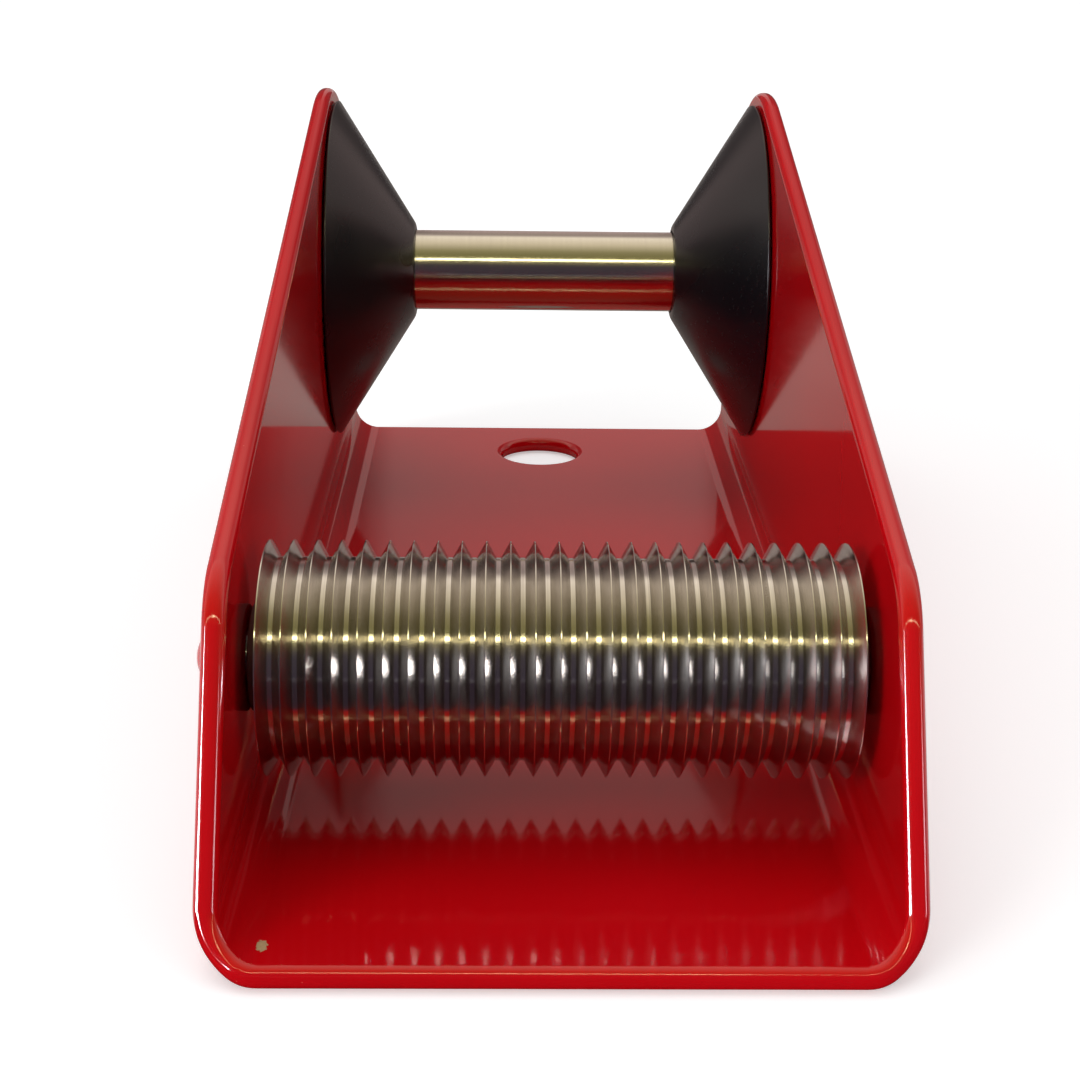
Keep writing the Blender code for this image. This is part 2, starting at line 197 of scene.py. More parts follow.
def new_object(name: str, work: BMesh) -> Object:
    """Turn a bmesh into a linked object at the origin, with its faces pointing out.

    Args:
        name: The object's name.
        work: The bmesh, which is freed.

    Returns:
        The new object.
    """
    bmesh.ops.remove_doubles(work, verts=work.verts, dist=SEAM)
    bmesh.ops.recalc_face_normals(work, faces=work.faces)
    mesh = bpy.data.meshes.new(name)
    work.to_mesh(mesh)
    work.free()
    made = bpy.data.objects.new(name, mesh)
    bpy.context.scene.collection.objects.link(made)
    return made


def settle(piece: Object) -> None:
    """Replace a piece's mesh by its evaluated mesh and drop its modifiers.

    Args:
        piece: The object to settle.
    """
    depsgraph = bpy.context.evaluated_depsgraph_get()
    mesh = bpy.data.meshes.new_from_object(
        piece.evaluated_get(depsgraph), preserve_all_data_layers=True, depsgraph=depsgraph
    )
    mesh.name = piece.name
    piece.modifiers.clear()
    piece.data = mesh


def smooth(piece: Object, angle: float) -> None:
    """Shade a piece smooth, apart from edges sharper than an angle."""
    piece.data.shade_smooth()
    piece.data.set_sharp_from_angle(angle=angle)


# Node graphs


class Graph:
    """A node tree under construction."""

    def __init__(self, tree: bpy.types.NodeTree) -> None:
        """Keep the tree."""
        self.tree = tree

    def node(self, kind: str, inputs: Inputs | None = None, **settings: object) -> Node:
        """Add a node.

        Args:
            kind: The node's type name.
            inputs: Values or output sockets for its inputs.
            **settings: Properties to set on it first.

        Returns:
            The node.
        """
        made = self.tree.nodes.new(kind)
        for name, value in settings.items():
            setattr(made, name, value)
        self.fill(made, inputs or {})
        return made

    def fill(self, node: Node, inputs: Inputs) -> None:
        """Link a node's inputs to output sockets, or set their values.

        Args:
            node: The node.
            inputs: Values or output sockets by input name or number.
        """
        for key, value in inputs.items():
            if isinstance(value, Socket):
                self.tree.links.new(value, node.inputs[key])
            else:
                node.inputs[key].default_value = value

    def math(self, operation: str, *operands: object) -> Socket:
        """Add a Math node of numbers or output sockets."""
        made = self.node("ShaderNodeMath", dict(enumerate(operands)), operation=operation)
        return made.outputs[0]

    def vector(self, operation: str, *operands: object, output: int = 0) -> Socket:
        """Add a Vector Math node; output 1 is the number that a length gives."""
        made = self.node("ShaderNodeVectorMath", dict(enumerate(operands)), operation=operation)
        return made.outputs[output]

    def noise(
        self, where: Socket, scale: float, detail: float = 2.0, roughness: float = 0.5
    ) -> Socket:
        """Add a noise texture, from 0 to 1."""
        inputs = {"Vector": where, "Scale": scale, "Detail": detail, "Roughness": roughness}
        return self.node("ShaderNodeTexNoise", inputs).outputs["Fac"]

    def ramp(
        self, value: Socket, low: float, high: float, to_low: float, to_high: float
    ) -> Socket:
        """Map a range of values to another, clamped.

        Args:
            value: The value's socket.
            low: The value that gives to_low.
            high: The value that gives to_high.
            to_low: The result at and below low.
            to_high: The result at and above high.

        Returns:
            The mapped value's socket.
        """
        inputs = {
            "Value": value, "From Min": low, "From Max": high, "To Min": to_low, "To Max": to_high
        }
        return self.node("ShaderNodeMapRange", inputs, clamp=True).outputs["Result"]

    def blend(self, amount: Socket, first: object, second: object) -> Socket:
        """Mix two colours.

        Args:
            amount: The share of the second colour.
            first: The colour, or its socket, at 0.
            second: The colour, or its socket, at 1.

        Returns:
            The mixed colour's socket.
        """
        made = self.node("ShaderNodeMix", {0: amount}, data_type="RGBA")
        for index, colour in ((6, first), (7, second)):
            self.fill(made, {index: (*colour, 1.0) if isinstance(colour, tuple) else colour})
        return made.outputs[2]

    def bump(self, height: Socket, distance: float, normal: Socket | None = None) -> Socket:
        """Add a Bump node.

        Args:
            height: The height, from 0 to 1.
            distance: The height of 1 in metres.
            normal: A normal to build on, or None.

        Returns:
            The bumped normal's socket.
        """
        inputs = {"Strength": 1.0, "Distance": distance, "Height": height}
        if normal is not None:
            inputs["Normal"] = normal
        return self.node("ShaderNodeBump", inputs).outputs["Normal"]

    def place(self) -> Socket:
        """Add the object's own coordinates, in metres."""
        return self.node("ShaderNodeTexCoord").outputs["Object"]

    def split(self, vector: Socket) -> list[Socket]:
        """Split a vector into its X, Y and Z sockets."""
        return list(self.node("ShaderNodeSeparateXYZ", {0: vector}).outputs)

    def join(self, x: object, y: object = 0.0, z: object = 0.0) -> Socket:
        """Join three numbers or sockets into a vector."""
        return self.node("ShaderNodeCombineXYZ", {0: x, 1: y, 2: z}).outputs[0]

    def seen(self) -> Socket:
        """Tell the rays that look at a surface from those that only light it.

        Returns:
            The socket of a number, 1 for rays that look and 0 for the others.
        """
        rays = self.node("ShaderNodeLightPath").outputs
        seen = self.math("MAXIMUM", rays["Is Camera Ray"], rays["Is Glossy Ray"])
        return self.math("MAXIMUM", seen, rays["Is Transmission Ray"])


def principled(name: str) -> tuple[Material, Graph, Node]:
    """Make a material with one Principled shader.

    Args:
        name: The material's name.

    Returns:
        The material, its graph and its shader node.
    """
    material = bpy.data.materials.new(name)
    material.use_nodes = True
    return material, Graph(material.node_tree), material.node_tree.nodes["Principled BSDF"]


# Finishes


@dataclass(frozen=True)
class GlossPaint:
    """Thick glossy red enamel: faint orange peel, dust nibs and one small chip."""

    slot: str = "red_paint"
    colour: Colour = (0.60, 0.0020, 0.0060)
    deep_colour: Colour = (0.55, 0.0014, 0.0045)
    cloud_scale: float = 22.0
    roughness: float = 0.075
    peel_scale: float = 420.0
    peel_height: float = 0.0035 * MM
    nib_colour: Colour = (0.75, 0.10, 0.08)
    nib_scale: float = 260.0
    nib_radius: float = 0.035
    nib_share: float = 0.16
    nib_strength: float = 0.8
    nib_height: float = 0.02 * MM
    chip_colour: Colour = (0.50, 0.36, 0.19)
    chip_dark_colour: Colour = (0.36, 0.22, 0.10)
    chip_centre: tuple[float, float, float] = (-0.0355, -0.0998, 0.0030)
    chip_width: float = 0.68 * MM
    chip_length: float = 1.20 * MM
    chip_depth: float = 0.05 * MM
    chip_edge: tuple[float, float] = (0.9, 1.02)
    chip_ragged: float = 0.2
    chip_ragged_scale: float = 2600.0
    chip_mottle_scale: float = 3200.0
    chip_roughness: float = 0.7

    def build(self) -> Material:
        """Make the material.

        Returns:
            The paint.
        """
        material, graph, shader = principled("gloss_red_enamel")
        where = graph.place()
        cloud = graph.ramp(graph.noise(where, self.cloud_scale, 3.0), *PATCH_EDGES, 0.0, 1.0)
        colour = graph.blend(cloud, self.deep_colour, self.colour)

        nibs = graph.node("ShaderNodeTexVoronoi", {"Vector": where, "Scale": self.nib_scale})
        kept = graph.math("LESS_THAN", graph.split(nibs.outputs["Color"])[0], self.nib_share)
        apart = nibs.outputs["Distance"]
        spot = graph.ramp(apart, self.nib_radius * 0.5, self.nib_radius, 1.0, 0.0)
        nib = graph.math("MULTIPLY", spot, kept)
        nib_share = graph.math("MULTIPLY", nib, self.nib_strength)
        colour = graph.blend(nib_share, colour, self.nib_colour)

        ragged = graph.noise(where, self.chip_ragged_scale, 2.0)
        ragged = graph.ramp(ragged, 0.3, 0.7, -self.chip_ragged, self.chip_ragged)
        from_chip = graph.vector("SUBTRACT", where, self.chip_centre)
        shares = (1 / self.chip_width, 1 / self.chip_length, 1 / self.chip_width)
        reach = graph.vector("LENGTH", graph.vector("MULTIPLY", from_chip, shares), output=1)
        chip = graph.ramp(graph.math("ADD", reach, ragged), *self.chip_edge, 1.0, 0.0)
        chip_mottle = graph.noise(where, self.chip_mottle_scale, 3.0)
        chip_tone = graph.blend(chip_mottle, self.chip_dark_colour, self.chip_colour)

        peel = graph.bump(graph.noise(where, self.peel_scale, 1.0, 0.4), self.peel_height)
        nibbed = graph.bump(nib, self.nib_height, peel)
        graph.fill(shader, {
            "Base Color": graph.blend(chip, colour, chip_tone),
            "Roughness": graph.ramp(chip, 0.0, 1.0, self.roughness, self.chip_roughness),
            "Normal": graph.bump(graph.math("SUBTRACT", 1.0, chip), self.chip_depth, nibbed),
        })
        return material


@dataclass(frozen=True)
class TurnedSteel:
    """Bright steel straight off the lathe: fine rings round X and a few darker ones."""

    name: str
    slot: str
    colour: Colour
    dull_colour: Colour
    roughness: float
    grain: float
    ring_scale: float
    ring_height: float
    fine_height: float
    fine_scale: float = 9000.0
    wander_scale: float = 60.0
    wander: float = 0.02 * MM
    patch_scale: float = 160.0
    patch_share: float = 0.3
    grain_turn: float = 0.25
    tone_edges: tuple[float, float] = (0.35, 0.62)
    rough_edges: tuple[float, float] = (0.3, 0.7)

    def build(self) -> Material:
        """Make the material.

        Returns:
            The steel.
        """
        material, graph, shader = principled(self.name)
        where = graph.place()
        wander = graph.math("MULTIPLY", graph.noise(where, self.wander_scale, 1.0), self.wander)
        along = graph.join(graph.math("ADD", graph.split(where)[0], wander))
        rings = graph.noise(along, self.ring_scale, 3.0, 0.65)
        fine = graph.noise(along, self.fine_scale, 2.0, 0.6)
        patches = graph.math(
            "MULTIPLY", graph.noise(where, self.patch_scale, 3.0, 0.6), self.patch_share
        )
        tone = graph.math("ADD", graph.math("MULTIPLY", rings, 1.0 - self.patch_share), patches)
        bright = graph.ramp(tone, *self.tone_edges, 0.0, 1.0)
        tangent = graph.node("ShaderNodeTangent", direction_type="RADIAL", axis="X")
        rough, fine_rough = self.roughness * 1.35, self.roughness * 0.75
        graph.fill(shader, {
            "Base Color": graph.blend(bright, self.dull_colour, self.colour),
            "Roughness": graph.ramp(tone, *self.rough_edges, rough, fine_rough),
            "Normal": graph.bump(fine, self.fine_height, graph.bump(rings, self.ring_height)),
            "Tangent": tangent.outputs[0],
            "Anisotropic": self.grain,
            "Anisotropic Rotation": self.grain_turn,
            "Metallic": 1.0,
        })
        return material


@dataclass(frozen=True)
class SatinBlack:
    """Satin black with faint turning rings and a little dust."""

    slot: str = "black_satin"
    colour: Colour = (0.005, 0.005, 0.007)
    dusty_colour: Colour = (0.010, 0.010, 0.011)
    roughness: float = 0.24
    dusty_roughness: float = 0.32
    ring_scale: float = 2600.0
    ring_height: float = 0.0010 * MM
    dust_scale: float = 700.0
    dust_share: float = 0.6
    dust_edges: tuple[float, float] = (0.55, 0.75)
    cloud_scale: float = 45.0
    cloud_share: float = 0.5

    def build(self) -> Material:
        """Make the material.

        Returns:
            The black finish.
        """
        material, graph, shader = principled("satin_black")
        where = graph.place()
        rings = graph.noise(graph.join(graph.split(where)[0]), self.ring_scale, 2.0, 0.6)
        specks = graph.noise(where, self.dust_scale, 4.0, 0.7)
        dust = graph.ramp(specks, *self.dust_edges, 0.0, self.dust_share)
        cloud = graph.noise(where, self.cloud_scale, 2.0)
        cloud = graph.ramp(cloud, *PATCH_EDGES, 0.0, self.cloud_share)
        amount = graph.math("MAXIMUM", dust, cloud)
        graph.fill(shader, {
            "Base Color": graph.blend(amount, self.colour, self.dusty_colour),
            "Roughness": graph.ramp(
                amount, 0.0, self.dust_share, self.roughness, self.dusty_roughness
            ),
            "Normal": graph.bump(rings, self.ring_height),
        })
        return material


@dataclass(frozen=True)
class RedWasherAndPaintedShade:
    """Dull dark red washer fibre with a faint mottle; the darkness is partly painted shade,
    matching the shaded gap beside the roller's ends.
    """

    slot: str = "black_satin"
    # Painted shade: the red is kept this dark to match the shaded gap at the roller's ends.
    colour: Colour = (0.085, 0.006, 0.006)
    pale_colour: Colour = (0.130, 0.012, 0.011)
    roughness: float = 0.55
    mottle_scale: float = 1400.0
    mottle_height: float = 0.004 * MM

    def build(self) -> Material:
        """Make the material.

        Returns:
            The washer finish, dark partly as painted shade.
        """
        material, graph, shader = principled("red_washer_fibre")
        mottle = graph.noise(graph.place(), self.mottle_scale, 4.0, 0.65)
        mottle = graph.ramp(mottle, *PATCH_EDGES, 0.0, 1.0)
        graph.fill(shader, {
            "Base Color": graph.blend(mottle, self.colour, self.pale_colour),
            "Normal": graph.bump(mottle, self.mottle_height),
            "Roughness": self.roughness,
        })
        return material


@dataclass(frozen=True)
class PlainMetal:
    """A small hardware metal with mottling and light scratches."""

    name: str
    slot: str
    colour: Colour
    worn_colour: Colour
    roughness: float
    mottle_scale: float = 900.0
    grain_scale: float = 5200.0
    grain_height: float = 0.002 * MM

    def build(self) -> Material:
        """Make the material.

        Returns:
            The metal.
        """
        material, graph, shader = principled(self.name)
        where = graph.place()
        mottle = graph.noise(where, self.mottle_scale, 4.0, 0.6)
        mottle = graph.ramp(mottle, *PATCH_EDGES, 0.0, 1.0)
        grain = graph.noise(where, self.grain_scale, 2.0, 0.6)
        graph.fill(shader, {
            "Base Color": graph.blend(mottle, self.colour, self.worn_colour),
            "Roughness": graph.ramp(mottle, 0.0, 1.0, self.roughness * 1.2, self.roughness * 0.8),
            "Normal": graph.bump(grain, self.grain_height),
            "Metallic": 1.0,
        })
        return material


Finish = GlossPaint | TurnedSteel | SatinBlack | RedWasherAndPaintedShade | PlainMetal


class Finishes:
    """The finishes of the whole object, each built once."""

    def __init__(self) -> None:
        """List every finish."""
        self.paint = GlossPaint()
        self.roller_steel = TurnedSteel(
            name="turned_roller_steel", slot="turned_steel", colour=(0.62, 0.59, 0.55),
            dull_colour=(0.47, 0.44, 0.41), roughness=0.19, grain=0.75, ring_scale=2600.0,
            ring_height=0.0004 * MM, fine_height=0.0001 * MM,
        )
        self.tube_steel = TurnedSteel(
            name="ground_tube_steel", slot="turned_steel", colour=(0.60, 0.57, 0.50),
            dull_colour=(0.57, 0.54, 0.475), roughness=0.18, grain=0.55, ring_scale=1500.0,
            ring_height=0.00005 * MM, fine_height=0.00002 * MM,
        )
        self.black = SatinBlack()
        # Washer finish whose darkness is partly painted shade.
        self.fibre = RedWasherAndPaintedShade()
        self.axle_steel = PlainMetal(
            "axle_steel", "axle_steel", (0.45, 0.45, 0.46), (0.58, 0.57, 0.55), 0.3
        )
        self.zinc = PlainMetal(
            "zinc_washer", "washer_steel", (0.55, 0.55, 0.53), (0.68, 0.67, 0.62), 0.34
        )
        self.spring_steel = PlainMetal(
            "black_spring_steel", "spring_steel", (0.10, 0.10, 0.11), (0.20, 0.19, 0.18), 0.4
        )
        self.bronze = PlainMetal(
            "bearing_bronze", "bronze", (0.52, 0.34, 0.16), (0.62, 0.44, 0.22), 0.42
        )
        self.built: dict[Finish, Material] = {}

    def material(self, finish: Finish) -> Material:
        """Give a finish's material, built on first use.

        Args:
            finish: One of this class's finishes.

        Returns:
            The material.
        """
        if finish not in self.built:
            self.built[finish] = finish.build()
        return self.built[finish]

    def dress(self, piece: Object, finish: Finish, body: str, nodes: Sequence[str]) -> None:
        """Give a piece its finish and put it on its body in place of its nodes.

        Args:
            piece: The finished mesh object.
            finish: One of this class's finishes.
            body: The body that the piece rides on.
            nodes: The nodes that the piece stands for.
        """
        piece.data.materials.clear()
        piece.data.materials.append(self.material(finish))
        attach(piece, body)
        if nodes:
            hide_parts(*nodes)
        log.info("%s rides on %s: %d faces", piece.name, body, len(piece.data.polygons))


# Measured frame


@dataclass(frozen=True)
class Span:
    """A node's box, as the places and sizes that its piece is made to."""

    low: Vector
    high: Vector

    @classmethod
    def of(cls, node: str) -> "Span":
        """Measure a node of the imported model."""
        return cls(*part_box(node))

    @property
    def axis(self) -> Point:
        """The box's middle in Y and Z."""
        return ((self.low.y + self.high.y) / 2, (self.low.z + self.high.z) / 2)

    @property
    def radius(self) -> float:
        """Half of the box's height."""
        return (self.high.z - self.low.z) / 2


# Bracket


@dataclass
class FoldedBracket:
    """The folded plate: a flat blank with round rims and holes, with both walls bent up."""

    span: Span
    roller_axis: Point
    cone_axis: Point
    plate: float = 3.0 * MM
    bend_inner_radius: float = 5.0 * MM
    front_edge_angle: float = math.radians(61.0)
    top_edge_angle: float = math.radians(14.9)
    shoulder_radius: float = 12.0 * MM
    front_corner_radius: float = 6.0 * MM
    rim_radius: float = 1.35 * MM
    rim_segments: int = 7
    bend_steps: int = 24
    floor_hole_radius: float = 8.0 * MM
    floor_hole_from_rear: float = 17.4 * MM
    roller_hole_radius: float = 3.8 * MM
    cone_hole_radius: float = 4.3 * MM
    arc_step: float = math.radians(2.5)
    hole_step: float = math.radians(4.0)
    sharp_angle: float = math.radians(40.0)

    def __post_init__(self) -> None:
        """Work out the bend's sizes."""
        self.bend_outer_radius = self.bend_inner_radius + self.plate
        self.bend_middle_radius = self.bend_inner_radius + self.plate / 2
        self.bend_start = self.span.high.x - self.bend_outer_radius
        self.bend_length = self.bend_middle_radius * math.pi / 2

    def unfolded(self, height: float) -> float:
        """Measure how far from the blank's middle a wall reaches a height."""
        return self.bend_start + self.bend_length + height - self.bend_outer_radius

    def blank(self) -> list[Point]:
        """Outline the flat blank.

        Returns:
            The outline, anticlockwise: on each side a front edge that leans back, a climbing
            top edge, an arc about the cone axis and a rear edge down to the bend.
        """
        front = (self.span.low.y, 0.0)
        foot = (self.span.high.y, self.bend_outer_radius)
        tip_radius = self.span.high.z - self.cone_axis[1]
        on_top = (
            self.cone_axis[0] - tip_radius * math.sin(self.top_edge_angle),
            self.cone_axis[1] + tip_radius * math.cos(self.top_edge_angle),
        )
        shoulder = meeting_point(front, self.front_edge_angle, on_top, self.top_edge_angle)
        to_axis = (self.cone_axis[0] - foot[0], self.cone_axis[1] - foot[1])
        lean = math.asin(tip_radius / math.hypot(*to_axis))
        rear_angle = math.atan2(to_axis[1], to_axis[0]) - lean
        tip = meeting_point(foot, rear_angle, on_top, self.top_edge_angle)
        side_view = [
            (*front, self.front_corner_radius),
            (*shoulder, self.shoulder_radius),
            (*tip, tip_radius),
            (*foot, 0.0),
        ]
        right = [(self.unfolded(z), y, radius) for y, z, radius in side_view]
        return rounded_outline(right + [(-x, y, r) for x, y, r in reversed(right)], self.arc_step)

    def holes(self) -> list[list[Point]]:
        """Outline the blank's round holes, clockwise.

        Returns:
            The outline of each hole, the floor's first.
        """
        centres = [((0.0, self.span.high.y - self.floor_hole_from_rear), self.floor_hole_radius)]
        for side in Side:
            for axis, radius in (
                (self.roller_axis, self.roller_hole_radius), (self.cone_axis, self.cone_hole_radius)
            ):
                centres.append(((side.value * self.unfolded(axis[1]), axis[0]), radius))
        return [
            arc(centre, radius, math.tau, 0.0, self.hole_step)[:-1] for centre, radius in centres
        ]

    def rim(self, work: BMesh, outline: Sequence[Point]) -> list[list[bmesh.types.BMVert]]:
        """Add one rounded rim of the blank.

        Args:
            work: The bmesh to add to.
            outline: The rim's outline, with the plate on its left.

        Returns:
            The lowest and the highest ring of vertices.
        """
        straight = self.plate / 2 - self.rim_radius
        quarter = [math.pi / 2 * step / self.rim_segments for step in range(self.rim_segments + 1)]
        upper = [
            (self.rim_radius * (1 - math.cos(a)), straight + self.rim_radius * math.sin(a))
            for a in quarter
        ]
        section = [(setback, -height) for setback, height in reversed(upper)] + upper
        away = []
        for index in range(len(outline)):
            before, after = Vector(outline[index - 1]), Vector(outline[(index + 1) % len(outline)])
            along = (after - before).normalized()
            away.append(Vector((along.y, -along.x)))
        rings = [
            [
                work.verts.new((x - setback * out.x, y - setback * out.y, height))
                for (x, y), out in zip(outline, away)
            ]
            for setback, height in section
        ]
        for lower, higher in zip(rings, rings[1:]):
            for index in range(len(outline)):
                work.faces.new((lower[index - 1], lower[index], higher[index], higher[index - 1]))
        return [rings[0], rings[-1]]

    def open_holes(
        self, work: BMesh, holes: Sequence[Sequence[Sequence[bmesh.types.BMVert]]]
    ) -> None:
        """Replace each flat face that covers holes by triangles round them.

        Args:
            work: The bmesh of the blank.
            holes: The lowest and highest ring of each hole.
        """
        for face in work.faces[:]:
            across = [vertex.co.x for vertex in face.verts]
            height = face.calc_center_median().z
            inside = [
                ring for rings in holes for ring in rings
                if min(across) < ring[0].co.x < max(across) and abs(ring[0].co.z - height) < SEAM
            ]
            if not inside:
                continue
            loops = [list(face.verts), *inside]
            vertices = [vertex for loop in loops for vertex in loop]
            work.faces.remove(face)
            for corners in tessellate_polygon([[v.co / MM for v in loop] for loop in loops]):
                work.faces.new([vertices[corner] for corner in corners])

    def folded(self, point: Vector) -> Vector:
        """Find where a point of the flat blank lies once the walls are bent up.

        Args:
            point: The point on the flat blank.

        Returns:
            The same point on the folded plate.
        """
        along = abs(point.x) - self.bend_start
        if along <= 0.0:
            return Vector((point.x, point.y, self.plate / 2 + point.z))
        angle = min(along / self.bend_middle_radius, math.pi / 2)
        radius = self.bend_middle_radius - point.z
        beyond = max(along - self.bend_length, 0.0)
        return Vector((
            math.copysign(self.bend_start + radius * math.sin(angle), point.x),
            point.y,
            self.bend_outer_radius - radius * math.cos(angle) + beyond,
        ))

    def build(self) -> Object:
        """Cut the blank, round its rims and fold it.

        Returns:
            The bracket as a plain mesh.
        """
        work = bmesh.new()
        outer, *holes = [self.rim(work, outline) for outline in [self.blank(), *self.holes()]]
        for ring in outer:
            work.faces.new(ring)
        for side in Side:
            for step in range(self.bend_steps + 1):
                crease = self.bend_start + self.bend_length * step / self.bend_steps
                bmesh.ops.bisect_plane(
                    work, geom=work.verts[:] + work.edges[:] + work.faces[:], dist=SEAM,
                    plane_co=(side.value * crease, 0.0, 0.0), plane_no=(1.0, 0.0, 0.0),
                )
        self.open_holes(work, holes)
        bmesh.ops.triangulate(work, faces=work.faces[:])
        for vertex in work.verts:
            vertex.co = self.folded(vertex.co)
        bracket = new_object("folded_bracket", work)
        smooth(bracket, self.sharp_angle)
        weighted = bracket.modifiers.new("Flat faces stay flat", "WEIGHTED_NORMAL")
        weighted.keep_sharp = True
        settle(bracket)
        return bracket


# Grooved roller


@dataclass
class GroovedRoller:
    """The turned roller: ring grooves with sharp, slightly nicked crests."""

    span: Span
    pitch: float = 3.175 * MM
    depth: float = 2.2 * MM
    root_flat: float = 0.6 * MM
    crest_flat: float = 0.12 * MM
    bore_radius: float = 6.1 * MM
    nick: float = 0.05 * MM
    nick_scale: float = 900.0
    steps: int = 288
    sharp_angle: float = math.radians(25.0)

    def strip(
        self, graph: Graph, steps: Socket, places: Sequence[tuple[object, object]]
    ) -> Socket:
        """Add the nodes that turn a short profile about X.

        Args:
            graph: The geometry graph.
            steps: The number of steps round the axis.
            places: The profile's (x, radius) points, as numbers or sockets.

        Returns:
            The turned surface.
        """
        last = len(places) - 1
        grid = graph.node("GeometryNodeMeshGrid", {
            "Size X": float(last), "Size Y": math.tau, "Vertices X": len(places),
            "Vertices Y": graph.math("ADD", steps, 1),
        })
        position = graph.split(graph.node("GeometryNodeInputPosition").outputs[0])
        column = graph.math("ROUND", graph.math("ADD", position[0], last / 2))
        chosen = []
        for values in zip(*places):
            switch = graph.node("GeometryNodeIndexSwitch", data_type="FLOAT")
            for _ in range(len(places) - len(switch.index_switch_items)):
                switch.index_switch_items.new()
            graph.fill(switch, {"Index": column, **dict(enumerate(values, 1))})
            chosen.append(switch.outputs[0])
        along, radius = chosen
        moved = graph.node("GeometryNodeSetPosition", {
            "Geometry": grid.outputs["Mesh"],
            "Position": graph.join(
                along,
                graph.math("MULTIPLY", radius, graph.math("COSINE", position[1])),
                graph.math("MULTIPLY", radius, graph.math("SINE", position[1])),
            ),
        })
        return moved.outputs["Geometry"]

    def grooves(self, graph: Graph, given: Given, first: Socket) -> Socket:
        """Repeat one ring groove along X.

        Args:
            graph: The geometry graph.
            given: The tree's inputs.
            first: The X of the first crest.

        Returns:
            The grooves as instances.
        """
        pitch, crest, root = given["Pitch"], given["Crest Radius"], given["Root Radius"]
        half_crest = graph.math("DIVIDE", given["Crest Flat"], 2.0)
        half_root = graph.math("DIVIDE", given["Root Flat"], 2.0)
        half_pitch = graph.math("DIVIDE", pitch, 2.0)
        groove = self.strip(graph, given["Steps"], [
            (0.0, crest),
            (half_crest, crest),
            (graph.math("SUBTRACT", half_pitch, half_root), root),
            (graph.math("ADD", half_pitch, half_root), root),
            (graph.math("SUBTRACT", pitch, half_crest), crest),
            (pitch, crest),
        ])
        row = graph.node("GeometryNodeMeshLine", {
            "Count": given["Grooves"], "Start Location": graph.join(first),
            "Offset": graph.join(pitch),
        }, mode="OFFSET")
        return graph.node(
            "GeometryNodeInstanceOnPoints", {"Points": row.outputs["Mesh"], "Instance": groove}
        ).outputs["Instances"]

    def nicked(self, graph: Graph, given: Given, surface: Socket) -> Socket:
        """Wear the crests a little.

        Args:
            graph: The geometry graph.
            given: The tree's inputs.
            surface: The roller's surface.

        Returns:
            The worn surface.
        """
        where = graph.node("GeometryNodeInputPosition").outputs[0]
        height = graph.vector("LENGTH", graph.vector("MULTIPLY", where, (0.0, 1.0, 1.0)), output=1)
        below = graph.math("SUBTRACT", given["Crest Radius"], given["Crest Flat"])
        wear = graph.math("MULTIPLY", graph.noise(where, self.nick_scale, 3.0, 0.7), given["Nick"])
        inward = graph.vector("MULTIPLY", graph.vector("NORMALIZE", where), (0.0, -1.0, -1.0))
        scaled = graph.node(
            "ShaderNodeVectorMath", {0: inward, "Scale": wear}, operation="SCALE"
        )
        return graph.node("GeometryNodeSetPosition", {
            "Geometry": surface, "Selection": graph.math("GREATER_THAN", height, below),
            "Offset": scaled.outputs[0],
        }).outputs[0]

    def tree(self, material: Material) -> tuple[bpy.types.NodeTree, dict[str, str]]:
        """Build the geometry tree of a roller with ring grooves.

        Args:
            material: The roller's material.

        Returns:
            The tree and the identifiers of its inputs by name.
        """
        tree = bpy.data.node_groups.new("ring_grooves", "GeometryNodeTree")
        ports = tree.interface
        ports.new_socket("Geometry", in_out="INPUT", socket_type="NodeSocketGeometry")
        kinds = dict.fromkeys(
            ("Half Length", "Pitch", "Crest Radius", "Root Radius", "Crest Flat", "Root Flat",
             "Bore Radius", "Nick"),
            "NodeSocketFloat",
        ) | dict.fromkeys(("Grooves", "Steps"), "NodeSocketInt")
        keys = {
            name: ports.new_socket(name, in_out="INPUT", socket_type=kind).identifier
            for name, kind in kinds.items()
        }
        ports.new_socket("Geometry", in_out="OUTPUT", socket_type="NodeSocketGeometry")
        graph = Graph(tree)
        given = graph.node("NodeGroupInput").outputs
        half, crest, bore = given["Half Length"], given["Crest Radius"], given["Bore Radius"]
        row_length = graph.math("MULTIPLY", given["Grooves"], given["Pitch"])
        first = graph.math("MULTIPLY", row_length, -0.5)
        last = graph.math("MULTIPLY", first, -1.0)
        minus_half = graph.math("MULTIPLY", half, -1.0)
        grooves = self.grooves(graph, given, first)
        ends = self.strip(graph, given["Steps"], [
            (last, crest), (half, crest), (half, bore), (minus_half, bore), (minus_half, crest),
            (first, crest),
        ])
        joined = graph.node("GeometryNodeJoinGeometry", {0: grooves})
        graph.fill(joined, {0: ends})
        realized = graph.node("GeometryNodeRealizeInstances", {0: joined.outputs[0]})
        merged = graph.node(
            "GeometryNodeMergeByDistance", {"Geometry": realized.outputs[0], "Distance": SEAM}
        )
        worn = self.nicked(graph, given, merged.outputs[0])
        final = graph.node("GeometryNodeRealizeInstances", {0: worn})
        coloured = graph.node(
            "GeometryNodeSetMaterial", {"Material": material, "Geometry": final.outputs[0]}
        )
        graph.node("NodeGroupOutput", {0: coloured.outputs[0]})
        return tree, keys

